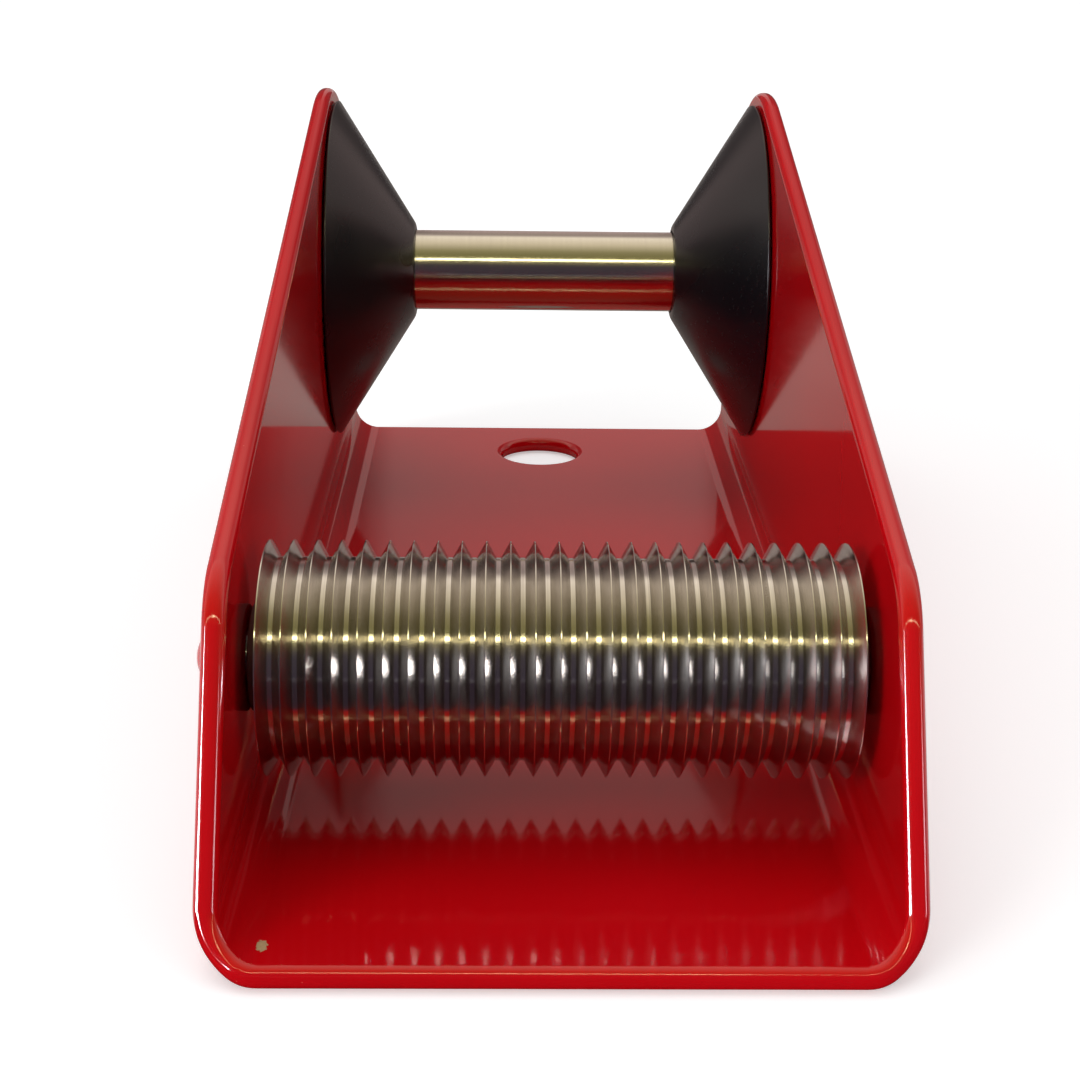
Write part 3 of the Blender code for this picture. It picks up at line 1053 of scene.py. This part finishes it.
    def build(self, material: Material) -> Object:
        """Grow the roller from its tree and put its place in its mesh.

        Args:
            material: The roller's material.

        Returns:
            The roller as a plain mesh.
        """
        roller = new_object("ring_groove_roller", bmesh.new())
        tree, keys = self.tree(material)
        grown = roller.modifiers.new("Ring grooves", "NODES")
        grown.node_group = tree
        half = self.span.high.x
        values = {
            "Half Length": half, "Pitch": self.pitch, "Crest Radius": self.span.radius,
            "Root Radius": self.span.radius - self.depth, "Crest Flat": self.crest_flat,
            "Root Flat": self.root_flat, "Bore Radius": self.bore_radius, "Nick": self.nick,
            "Grooves": int((2 * half - self.crest_flat) / self.pitch), "Steps": self.steps,
        }
        for name, value in values.items():
            grown[keys[name]] = value
        settle(roller)
        roller.data.transform(Matrix.Translation((0.0, *self.span.axis)))
        work = bmesh.new()
        work.from_mesh(roller.data)
        bmesh.ops.recalc_face_normals(work, faces=work.faces)
        work.to_mesh(roller.data)
        work.free()
        smooth(roller, self.sharp_angle)
        return roller


# Turned pieces


@dataclass
class TurnedPiece:
    """A piece turned about X from the corners of its closed profile."""

    name: str
    corners: Sequence[Corner]
    axis: Point
    steps: int = 128
    arc_step: float = math.radians(15.0)
    sharp_angle: float = math.radians(28.0)

    @classmethod
    def ring(
        cls, name: str, span: Span, bore: float, edge: float, axis: Point, steps: int
    ) -> "TurnedPiece":
        """Fit a plain ring to a node's box.

        Args:
            name: The ring's name.
            span: The node's box.
            bore: The hole's radius.
            edge: The rounding of all four edges.
            axis: The axis as (y, z).
            steps: The number of steps round the axis.

        Returns:
            The ring, not yet built.
        """
        inner, outer = span.low.x, span.high.x
        places = ((outer, span.radius), (inner, span.radius), (inner, bore), (outer, bore))
        return cls(name, [(x, radius, edge) for x, radius in places], axis, steps)

    def build(self) -> Object:
        """Turn the profile and shade it.

        Returns:
            The piece as a plain mesh.
        """
        profile = rounded_outline(self.corners, self.arc_step)
        y, z = self.axis
        work = bmesh.new()
        rings = []
        for step in range(self.steps):
            angle = math.tau * step / self.steps
            rings.append([
                work.verts.new((x, y + r * math.cos(angle), z + r * math.sin(angle)))
                for x, r in profile
            ])
        for here, there in zip(rings, rings[1:] + rings[:1]):
            for index, (_, radius) in enumerate(profile):
                following = (index + 1) % len(profile)
                if radius == 0.0 and profile[following][1] == 0.0:
                    continue
                work.faces.new((here[index], here[following], there[following], there[index]))
        bmesh.ops.dissolve_degenerate(work, edges=work.edges, dist=SEAM)
        piece = new_object(self.name, work)
        smooth(piece, self.sharp_angle)
        return piece


@dataclass
class ConeSet:
    """The cross tube, its two cones and the bush in each end."""

    tube: Span
    bush_bore: float = 4.3 * MM
    tube_bore: float = 5.7 * MM
    cone_bore: float = 8.0 * MM
    nose_radius: float = 8.85 * MM
    nose_rounding: float = 2.4 * MM
    rim_land: float = 0.25 * MM
    rim_chamfer: float = 0.15 * MM
    edge: float = 0.2 * MM

    def cone_corners(self, span: Span, side: Side) -> list[Corner]:
        """List the corners of a cone's profile on its own side.

        Args:
            span: The cone's box.
            side: The cone's side.

        Returns:
            The corners as (x, radius, rounding).
        """
        face, nose = (span.high.x, span.low.x) if side is Side.RIGHT else (span.low.x, span.high.x)
        sign = side.value
        return [
            (face, span.radius - self.rim_chamfer, self.rim_chamfer),
            (face - sign * self.rim_chamfer, span.radius, self.rim_chamfer),
            (face - sign * (self.rim_chamfer + self.rim_land), span.radius, self.rim_chamfer),
            (nose, self.nose_radius, self.nose_rounding),
            (nose, self.cone_bore, 0.0),
            (face, self.cone_bore, 0.0),
        ]

    def build(self, finishes: Finishes) -> None:
        """Build and dress every piece of the set.

        Args:
            finishes: The finishes of the whole object.
        """
        body = "cone_roller"
        axis = self.tube.axis
        tube = TurnedPiece.ring("steel_cross_tube", self.tube, self.tube_bore, self.edge, axis, 128)
        finishes.dress(tube.build(), finishes.tube_steel, body, ["cross_tube"])
        for side in Side:
            node = f"cone_{side.word}"
            corners = self.cone_corners(Span.of(node), side)
            cone = TurnedPiece(f"centring_{node}", corners, axis, steps=192)
            finishes.dress(cone.build(), finishes.black, body, [node])
            node = f"cone_bush_{side.word}"
            name = f"tube_bush_{side.word}"
            bush = TurnedPiece.ring(name, Span.of(node), self.bush_bore, self.edge, axis, 64)
            finishes.dress(bush.build(), finishes.bronze, body, [node])


@dataclass
class RollerBearings:
    """The bushes in the grooved roller's ends and the thrust washers beside them."""

    bore: float = 3.8 * MM
    edge: float = 0.2 * MM

    def build(self, finishes: Finishes) -> None:
        """Build and dress the bushes and washers.

        Args:
            finishes: The finishes of the whole object.
        """
        for side in Side:
            for prefix, made, body, finish in (
                ("roller_bush", "roller_end_bush", "front_roller", finishes.bronze),
                ("roller_thrust_washer", "roller_side_washer", "frame", finishes.fibre),
            ):
                node = f"{prefix}_{side.word}"
                span = Span.of(node)
                name = f"{made}_{side.word}"
                ring = TurnedPiece.ring(name, span, self.bore, self.edge, span.axis, 64)
                finishes.dress(ring.build(), finish, body, [node])


@dataclass
class AxleSet:
    """An axle through both walls, with a washer and an E-clip outside each."""

    prefix: str
    axle: Span
    seat_gap: float = 0.3 * MM
    groove_depth: float = 0.6 * MM
    clip_thickness: float = 0.8 * MM
    tail: float = 1.7 * MM
    dome_foot: float = 0.35 * MM
    edge: float = 0.12 * MM
    clip_rim: float = 2.2 * MM
    clip_relief: float = 0.8 * MM
    mouth_angle: float = math.radians(38.0)
    land_angle: float = math.radians(14.0)
    arc_step: float = math.radians(4.0)
    pin_arc_step: float = math.radians(22.5)
    steps: int = 96
    bevel_angle: float = math.radians(60.0)
    sharp_angle: float = math.radians(40.0)

    def axle_corners(self) -> list[Corner]:
        """List the corners of the axle's profile, end to end and back along its axis.

        Returns:
            The corners as (x, radius, rounding).
        """
        radius = self.axle.radius
        outer = self.axle.high.x - self.tail
        inner = outer - self.clip_thickness - 2 * self.seat_gap
        half = [
            (outer, 0.0, 0.0),
            (outer, radius - self.groove_depth, 0.0),
            (inner, radius - self.groove_depth, 0.0),
            (inner, radius, self.edge),
        ]
        return half + [(-x, r, rounding) for x, r, rounding in reversed(half)]

    def end_corners(self, side: Side) -> list[Corner]:
        """List the corners of a domed axle end's profile.

        Args:
            side: The end's side.

        Returns:
            The corners as (x, radius, rounding).
        """
        radius = self.axle.radius
        rise = self.tail - self.dome_foot
        dome_radius = (radius ** 2 + rise ** 2) / (2 * rise)
        centre = self.axle.high.x - dome_radius
        opening = math.asin(radius / dome_radius)
        dome = arc((centre, 0.0), dome_radius, 0.0, opening, self.arc_step / 2)
        outer = self.axle.high.x - self.tail
        half = [(outer, 0.0, 0.0), *((x, r, 0.0) for x, r in dome), (outer, radius, self.edge)]
        return [(side.value * x, r, rounding) for x, r, rounding in half]

    def clip_outline(self) -> list[Point]:
        """Outline the E-clip: an open ring with three lands on the axle's groove.

        Returns:
            The outline's points in the clip's own plane.
        """
        land = self.axle.radius - self.groove_depth + self.seat_gap
        relief = land + self.clip_relief
        start = self.mouth_angle
        end = math.tau - start
        rim = self.axle.radius + self.clip_rim
        middles = (end - self.land_angle, math.pi, start + self.land_angle)
        lands = [(middle + self.land_angle, middle - self.land_angle) for middle in middles]
        outline = arc((0.0, 0.0), rim, start, end, self.arc_step)
        for index, (near, far) in enumerate(lands):
            outline += arc((0.0, 0.0), land, near, far, self.arc_step)
            if index + 1 < len(lands):
                outline += arc((0.0, 0.0), relief, far, lands[index + 1][0], self.arc_step)
        return outline

    def clip(self, side: Side) -> Object:
        """Build one E-clip with softened edges.

        Args:
            side: The clip's side.

        Returns:
            The clip as a plain mesh.
        """
        span = Span.of(f"{self.prefix}_e_clip_{side.word}")
        depth = span.high.x - span.low.x
        work = bmesh.new()
        face = work.faces.new([work.verts.new((x, y, -depth / 2)) for x, y in self.clip_outline()])
        extruded = bmesh.ops.extrude_face_region(work, geom=[face])["geom"]
        lifted = [item for item in extruded if isinstance(item, bmesh.types.BMVert)]
        bmesh.ops.translate(work, verts=lifted, vec=(0.0, 0.0, depth))
        middle = Matrix.Translation(((span.low.x + span.high.x) / 2, *self.axle.axis))
        facing = Matrix.Rotation(math.pi / 2, 4, "Y")
        bmesh.ops.transform(work, matrix=middle @ facing, verts=work.verts)
        clip = new_object(f"{self.prefix}_clip_{side.word}", work)
        bevel = clip.modifiers.new("Soft edges", "BEVEL")
        bevel.width = self.edge
        bevel.segments = 2
        bevel.limit_method = "ANGLE"
        bevel.angle_limit = self.bevel_angle
        settle(clip)
        smooth(clip, self.sharp_angle)
        return clip

    def build(self, finishes: Finishes) -> None:
        """Build and dress the axle, its painted ends, washers and clips.

        Args:
            finishes: The finishes of the whole object.
        """
        body = "frame"
        axis = self.axle.axis
        corners = self.axle_corners()
        axle = TurnedPiece(f"{self.prefix}_pin", corners, axis, self.steps, self.pin_arc_step)
        finishes.dress(axle.build(), finishes.axle_steel, body, [f"{self.prefix}_axle"])
        for side in Side:
            name = f"{self.prefix}_pin_end_{side.word}"
            end = TurnedPiece(name, self.end_corners(side), axis, self.steps)
            finishes.dress(end.build(), finishes.paint, body, [])
            node = f"{self.prefix}_outer_washer_{side.word}"
            name = f"{self.prefix}_washer_{side.word}"
            bore = self.axle.radius + self.seat_gap
            washer = TurnedPiece.ring(name, Span.of(node), bore, self.edge, axis, self.steps)
            finishes.dress(washer.build(), finishes.zinc, body, [node])
            node = f"{self.prefix}_e_clip_{side.word}"
            finishes.dress(self.clip(side), finishes.spring_steel, body, [node])


# Studio


class Rays(Enum):
    """The rays that a lamp lights."""

    GLOSSY = "glossy"
    DIFFUSE = "diffuse"


@dataclass(frozen=True)
class Lamp:
    """A rectangular lamp that faces the object."""

    name: str
    place: tuple[float, float, float]
    width: float
    height: float
    radiance: float
    colour: Colour
    rays: Rays

    def build(self, target: Vector) -> None:
        """Make the lamp.

        Args:
            target: The point that it faces.
        """
        data = bpy.data.lights.new(self.name, "AREA")
        data.shape = "RECTANGLE"
        data.size = self.width
        data.size_y = self.height
        data.color = self.colour
        data.energy = self.radiance * math.pi * self.width * self.height
        if self.rays is Rays.GLOSSY:
            data.use_nodes = True
            graph = Graph(data.node_tree)
            scattered = graph.node("ShaderNodeLightPath").outputs["Diffuse Depth"]
            direct = graph.math("LESS_THAN", scattered, 0.5)
            graph.fill(data.node_tree.nodes["Emission"], {"Strength": direct})
        lamp = bpy.data.objects.new(self.name, data)
        lamp.location = self.place
        lamp.rotation_euler = (target - Vector(self.place)).to_track_quat("-Z", "Y").to_euler()
        lamp.visible_glossy = self.rays is Rays.GLOSSY
        lamp.visible_diffuse = self.rays is Rays.DIFFUSE
        bpy.context.scene.collection.objects.link(lamp)


@dataclass
class Studio:
    """A pale floor under a soft tent, with a few lamps and the camera."""

    target: Vector
    floor_radius: float = 9.0
    floor_drop: float = 0.05 * MM
    floor_colour: Colour = (0.82, 0.82, 0.82)
    floor_glow: float = 0.42
    ambient: float = 0.55
    tent_radius: float = 6.0
    tent_tones: tuple[tuple[float, Colour], ...] = (
        (0, (0.060, 0.048, 0.070)),
        (28, (0.070, 0.058, 0.074)),
        (40, (0.210, 0.180, 0.085)),
        (52, (0.210, 0.190, 0.060)),
        (72, (0.420, 0.370, 0.190)),
        (96, (0.980, 0.860, 0.640)),
        (124, (1.350, 1.200, 1.030)),
        (136, (0.460, 0.380, 0.350)),
        (160, (0.560, 0.420, 0.400)),
        (180, (0.480, 0.380, 0.360)),
    )
    shade_colour: Colour = (0.05, 0.04, 0.04)
    shade_share: float = 0.9
    shade_centre: float = 0.022
    shade_sides: tuple[float, float] = (0.088, 0.110)
    shade_outer: tuple[float, float] = (0.42, 0.50)
    shade_pitch: tuple[float, float] = (math.radians(138.0), math.radians(150.0))
    card_height: float = 0.3 * MM
    cards: tuple[tuple[str, float, float, Colour], ...] = (
        ("front_card", -0.095, -3.0, (0.050, 0.035, 0.050)),
        ("rear_card", 0.060, 3.0, (0.420, 0.350, 0.320)),
    )
    lens: float = 60.6
    sensor: float = 36.0
    camera_place: tuple[float, float, float] = (-0.00688, -0.28345, 0.12523)
    camera_pitch: float = 0.36711
    camera_yaw: float = -0.0195
    camera_roll: float = 0.0140
    lamps: tuple[Lamp, ...] = (
        Lamp("warm_lamp", (0.0, -1.60, 1.62), 0.62, 0.09, 12.0, (1.0, 0.92, 0.52), Rays.GLOSSY),
        Lamp("warm_strip", (0.0, -1.60, 1.63), 9.0, 0.08, 8.0, (1.0, 0.94, 0.55), Rays.GLOSSY),
        Lamp("left_window", (-2.4, -1.20, 0.34), 1.6, 0.46, 66.0, (0.92, 0.93, 1.0), Rays.GLOSSY),
        Lamp("right_window", (2.4, -1.05, 0.47), 0.7, 0.30, 9.0, (0.92, 0.93, 1.0), Rays.GLOSSY),
        Lamp("left_key", (-2.1, -1.90, 1.10), 1.2, 1.2, 5.8, (1.0, 1.0, 1.0), Rays.DIFFUSE),
        Lamp("front_key", (-0.7, -2.80, 0.50), 1.0, 0.6, 2.2, (1.0, 1.0, 1.0), Rays.DIFFUSE),
        Lamp("overhead_fill", (-0.5, 0.6, 3.0), 2.4, 2.4, 1.2, (1.0, 1.0, 1.0), Rays.DIFFUSE),
    )

    def floor(self) -> None:
        """Lay the pale floor, which renders white where no shadow falls."""
        work = bmesh.new()
        bmesh.ops.create_circle(work, cap_ends=True, radius=self.floor_radius, segments=96)
        floor = new_object("studio_floor", work)
        floor.data.transform(Matrix.Translation((0.0, 0.0, -self.floor_drop)))
        material, graph, shader = principled("pale_floor")
        graph.fill(shader, {
            "Base Color": (*self.floor_colour, 1.0),
            "Roughness": 0.9,
            "Specular IOR Level": 0.0,
            "Emission Color": (1.0, 1.0, 1.0, 1.0),
            "Emission Strength": graph.math("MULTIPLY", graph.seen(), self.floor_glow),
        })
        floor.data.materials.append(material)
        floor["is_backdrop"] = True

    def tent(self) -> None:
        """Hang a soft glowing tent that only reflections see, shaded low behind the object."""
        work = bmesh.new()
        bmesh.ops.create_uvsphere(work, u_segments=64, v_segments=32, radius=self.tent_radius)
        tent = new_object("studio_tent", work)
        material = bpy.data.materials.new("tent_cloth")
        material.use_nodes = True
        material.node_tree.nodes.clear()
        graph = Graph(material.node_tree)
        x, y, z = graph.split(graph.vector("NORMALIZE", graph.place()))
        pitch = graph.math("ARCTAN2", z, graph.math("MULTIPLY", y, -1.0))
        tone = graph.node("ShaderNodeValToRGB", {"Fac": graph.math("DIVIDE", pitch, math.pi)})
        ramp = tone.color_ramp
        while len(ramp.elements) < len(self.tent_tones):
            ramp.elements.new(0.5)
        for element, (degrees, colour) in zip(ramp.elements, self.tent_tones):
            element.position = degrees / 180.0
            element.color = (*colour, 1.0)
        offset = graph.math("SUBTRACT", x, self.shade_centre)
        sideways = graph.math("ABSOLUTE", offset)
        sideways = graph.ramp(sideways, *self.shade_sides, 0.0, self.shade_share)
        behind = graph.ramp(pitch, *self.shade_pitch, 0.0, 1.0)
        near = graph.ramp(graph.math("ABSOLUTE", x), *self.shade_outer, 1.0, 0.0)
        shade = graph.math("MULTIPLY", sideways, graph.math("MULTIPLY", behind, near))
        colour = graph.blend(shade, tone.outputs["Color"], self.shade_colour)
        glow = graph.node("ShaderNodeEmission", {"Color": colour})
        graph.node("ShaderNodeOutputMaterial", {"Surface": glow.outputs[0]})
        tent.data.materials.append(material)
        self.hide(tent)
        tent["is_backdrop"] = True

    def hide(self, screen: Object) -> None:
        """Hide a screen from everything but reflections.

        Args:
            screen: The tent or a card.
        """
        screen.visible_camera = False
        screen.visible_diffuse = False
        screen.visible_shadow = False

    def card(self, name: str, near: float, far: float, colour: Colour) -> None:
        """Lay a card on the floor before or behind the object, which only reflections see.

        Args:
            name: The card's name.
            near: The Y of its near edge.
            far: The Y of its far edge.
            colour: Its colour.
        """
        work = bmesh.new()
        across = abs(far)
        corners = ((-across, far), (across, far), (across, near), (-across, near))
        work.faces.new([work.verts.new((x, y, self.card_height)) for x, y in corners])
        card = new_object(name, work)
        material, graph, shader = principled(f"{name}_colour")
        graph.fill(shader, {
            "Base Color": (*colour, 1.0), "Roughness": 1.0, "Specular IOR Level": 0.0
        })
        card.data.materials.append(material)
        self.hide(card)
        card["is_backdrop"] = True

    def sky(self) -> None:
        """Make the world behind everything plain white where it is seen."""
        world = bpy.data.worlds.new("white_surround")
        bpy.context.scene.world = world
        world.use_nodes = True
        graph = Graph(world.node_tree)
        strength = graph.math("MAXIMUM", graph.seen(), self.ambient)
        background = world.node_tree.nodes["Background"]
        graph.fill(background, {"Color": (1.0, 1.0, 1.0, 1.0), "Strength": strength})

    def camera(self) -> None:
        """Stand the camera in front of the grooved roller, looking down along the channel."""
        data = bpy.data.cameras.new("camera")
        data.lens = self.lens
        data.sensor_width = self.sensor
        data.clip_start = 0.01
        data.clip_end = 4 * self.floor_radius
        camera = bpy.data.objects.new("camera", data)
        camera.matrix_world = (
            Matrix.Translation(self.camera_place)
            @ Matrix.Rotation(self.camera_yaw, 4, "Z")
            @ Matrix.Rotation(math.pi / 2 - self.camera_pitch, 4, "X")
            @ Matrix.Rotation(self.camera_roll, 4, "Z")
        )
        bpy.context.scene.collection.objects.link(camera)
        bpy.context.scene.camera = camera

    def build(self) -> None:
        """Set up the floor, the tent, the cards, the lamps and the camera."""
        self.floor()
        self.tent()
        for card in self.cards:
            self.card(*card)
        self.sky()
        for lamp in self.lamps:
            lamp.build(self.target)
        self.camera()
        bpy.context.scene.view_settings.view_transform = "Standard"


# The whole object


def main() -> None:
    """Load the model, build every piece and set up the studio."""
    logging.basicConfig(level=logging.INFO, format="%(message)s")
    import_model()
    cad_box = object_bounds()
    finishes = Finishes()

    roller = GroovedRoller(Span.of("grooved_roller"))
    cones = ConeSet(Span.of("cross_tube"))
    bracket = FoldedBracket(Span.of("bracket"), roller.span.axis, cones.tube.axis)
    finishes.dress(bracket.build(), finishes.paint, "frame", ["bracket"])
    grown = roller.build(finishes.material(finishes.roller_steel))
    finishes.dress(grown, finishes.roller_steel, "front_roller", ["grooved_roller"])
    cones.build(finishes)
    RollerBearings().build(finishes)
    for prefix in ("roller", "cone"):
        AxleSet(prefix, Span.of(f"{prefix}_axle")).build(finishes)

    Studio(target=(cad_box[0] + cad_box[1]) / 2).build()


if __name__ == "__main__":
    main()
